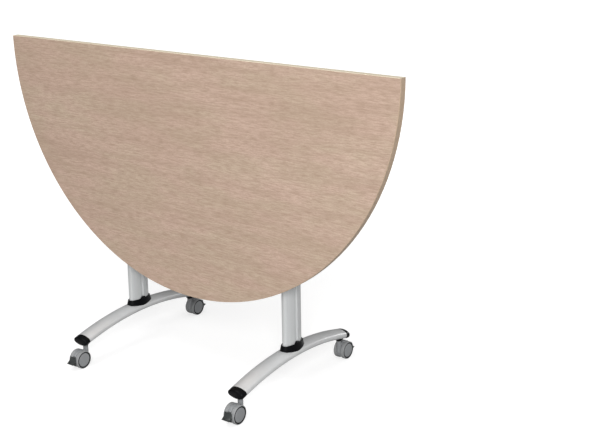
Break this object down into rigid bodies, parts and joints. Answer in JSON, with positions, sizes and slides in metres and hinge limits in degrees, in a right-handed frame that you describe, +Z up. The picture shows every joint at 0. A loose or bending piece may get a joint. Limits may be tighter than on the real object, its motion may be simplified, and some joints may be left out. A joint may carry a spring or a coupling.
{
  "type": "flip top training table",
  "caption": "Half-round flip top training table folded for storage: column legs on arched feet with braked twin-wheel casters.",
  "frame": {"origin": "on the floor, midway between the two legs and under their columns", "axes": "+X along the table's straight edge, +Y away from the user, +Z up; the top is folded up with its work surface towards -Y"},
  "size_m": [1.6, 0.6682, 1.068],
  "materials": {
    "wood": "satin laminate",
    "edge_band": "satin",
    "silver_aluminium": "satin anodised",
    "silver_paint": "satin powder coat",
    "black_plastic": "satin moulded",
    "black_metal": "fine texture powder coat",
    "steel": "zinc plated",
    "bush_polymer": "matt",
    "buffer_rubber": "matt",
    "caster_grey": "satin moulded",
    "caster_tread": "matt",
    "lever_grey": "satin moulded"
  },
  "bodies": {
    "frame": {"foot_left": "silver_paint", "foot_cap_front_left": "black_plastic", "foot_cap_rear_left": "black_plastic", "column_left": "silver_aluminium", "column_collar_left": "black_plastic", "head_left": "black_metal", "foot_right": "silver_paint", "foot_cap_front_right": "black_plastic", "foot_cap_rear_right": "black_plastic", "column_right": "silver_aluminium", "column_collar_right": "black_plastic", "head_right": "black_metal", "column_bolts": "steel", "cross_beam": "silver_paint", "beam_screws": "steel", "pivot_bushes": "bush_polymer", "stop_buffers": "buffer_rubber"},
    "top": {"table_top": "wood", "edge_band_straight": "edge_band", "edge_band_curved": "edge_band", "flip_bracket_left": "black_metal", "flip_bracket_right": "black_metal", "bracket_screws": "steel", "pivot_pins": "steel", "latch_bushes": "bush_polymer"},
    "latch": {"latch_rod": "steel", "latch_pawl_left": "black_metal", "latch_pawl_right": "black_metal", "release_handle": "black_plastic", "latch_spring": "steel"},
    "swivel_front_left": {"caster_front_left_hood": "caster_grey", "caster_front_left_pins": "steel"},
    "wheel_a_front_left": {"caster_front_left_wheel_a": "caster_grey", "caster_front_left_tyre_a": "caster_tread"},
    "wheel_b_front_left": {"caster_front_left_wheel_b": "caster_grey", "caster_front_left_tyre_b": "caster_tread"},
    "brake_front_left": {"caster_front_left_lever": "lever_grey"},
    "swivel_rear_left": {"caster_rear_left_hood": "caster_grey", "caster_rear_left_pins": "steel"},
    "wheel_a_rear_left": {"caster_rear_left_wheel_a": "caster_grey", "caster_rear_left_tyre_a": "caster_tread"},
    "wheel_b_rear_left": {"caster_rear_left_wheel_b": "caster_grey", "caster_rear_left_tyre_b": "caster_tread"},
    "brake_rear_left": {"caster_rear_left_lever": "lever_grey"},
    "swivel_front_right": {"caster_front_right_hood": "caster_grey", "caster_front_right_pins": "steel"},
    "wheel_a_front_right": {"caster_front_right_wheel_a": "caster_grey", "caster_front_right_tyre_a": "caster_tread"},
    "wheel_b_front_right": {"caster_front_right_wheel_b": "caster_grey", "caster_front_right_tyre_b": "caster_tread"},
    "brake_front_right": {"caster_front_right_lever": "lever_grey"},
    "swivel_rear_right": {"caster_rear_right_hood": "caster_grey", "caster_rear_right_pins": "steel"},
    "wheel_a_rear_right": {"caster_rear_right_wheel_a": "caster_grey", "caster_rear_right_tyre_a": "caster_tread"},
    "wheel_b_rear_right": {"caster_rear_right_wheel_b": "caster_grey", "caster_rear_right_tyre_b": "caster_tread"},
    "brake_rear_right": {"caster_rear_right_lever": "lever_grey"}
  },
  "joints": [
    {"name": "flip", "type": "hinge", "parent": "frame", "child": "top", "pos_m": [0, 0, 0.64], "axis": [1, 0, 0], "range_deg": [-90, 0]},
    {"name": "latch_turn", "type": "hinge", "parent": "top", "child": "latch", "pos_m": [0, -0.054, 0.6], "axis": [1, 0, 0], "range_deg": [0, 11], "stiffness_Nm_per_rad": 0.2, "springref_deg": -28.65},
    {"name": "swivel_turn_front_left", "type": "hinge", "parent": "frame", "child": "swivel_front_left", "pos_m": [-0.34, -0.26, 0], "axis": [0, 0, 1], "continuous": true},
    {"name": "wheel_spin_a_front_left", "type": "hinge", "parent": "swivel_front_left", "child": "wheel_a_front_left", "pos_m": [-0.34, -0.287, 0.03], "axis": [1, 0, 0], "continuous": true},
    {"name": "wheel_spin_b_front_left", "type": "hinge", "parent": "swivel_front_left", "child": "wheel_b_front_left", "pos_m": [-0.34, -0.287, 0.03], "axis": [1, 0, 0], "continuous": true},
    {"name": "brake_press_front_left", "type": "hinge", "parent": "swivel_front_left", "child": "brake_front_left", "pos_m": [-0.34, -0.287, 0.03], "axis": [1, 0, 0], "range_deg": [0, 12]},
    {"name": "swivel_turn_rear_left", "type": "hinge", "parent": "frame", "child": "swivel_rear_left", "pos_m": [-0.34, 0.26, 0], "axis": [0, 0, 1], "continuous": true},
    {"name": "wheel_spin_a_rear_left", "type": "hinge", "parent": "swivel_rear_left", "child": "wheel_a_rear_left", "pos_m": [-0.34, 0.287, 0.03], "axis": [1, 0, 0], "continuous": true},
    {"name": "wheel_spin_b_rear_left", "type": "hinge", "parent": "swivel_rear_left", "child": "wheel_b_rear_left", "pos_m": [-0.34, 0.287, 0.03], "axis": [1, 0, 0], "continuous": true},
    {"name": "brake_press_rear_left", "type": "hinge", "parent": "swivel_rear_left", "child": "brake_rear_left", "pos_m": [-0.34, 0.287, 0.03], "axis": [-1, 0, 0], "range_deg": [0, 12]},
    {"name": "swivel_turn_front_right", "type": "hinge", "parent": "frame", "child": "swivel_front_right", "pos_m": [0.34, -0.26, 0], "axis": [0, 0, 1], "continuous": true},
    {"name": "wheel_spin_a_front_right", "type": "hinge", "parent": "swivel_front_right", "child": "wheel_a_front_right", "pos_m": [0.34, -0.287, 0.03], "axis": [1, 0, 0], "continuous": true},
    {"name": "wheel_spin_b_front_right", "type": "hinge", "parent": "swivel_front_right", "child": "wheel_b_front_right", "pos_m": [0.34, -0.287, 0.03], "axis": [1, 0, 0], "continuous": true},
    {"name": "brake_press_front_right", "type": "hinge", "parent": "swivel_front_right", "child": "brake_front_right", "pos_m": [0.34, -0.287, 0.03], "axis": [1, 0, 0], "range_deg": [0, 12]},
    {"name": "swivel_turn_rear_right", "type": "hinge", "parent": "frame", "child": "swivel_rear_right", "pos_m": [0.34, 0.26, 0], "axis": [0, 0, 1], "continuous": true},
    {"name": "wheel_spin_a_rear_right", "type": "hinge", "parent": "swivel_rear_right", "child": "wheel_a_rear_right", "pos_m": [0.34, 0.287, 0.03], "axis": [1, 0, 0], "continuous": true},
    {"name": "wheel_spin_b_rear_right", "type": "hinge", "parent": "swivel_rear_right", "child": "wheel_b_rear_right", "pos_m": [0.34, 0.287, 0.03], "axis": [1, 0, 0], "continuous": true},
    {"name": "brake_press_rear_right", "type": "hinge", "parent": "swivel_rear_right", "child": "brake_rear_right", "pos_m": [0.34, 0.287, 0.03], "axis": [-1, 0, 0], "range_deg": [0, 12]}
  ]
}
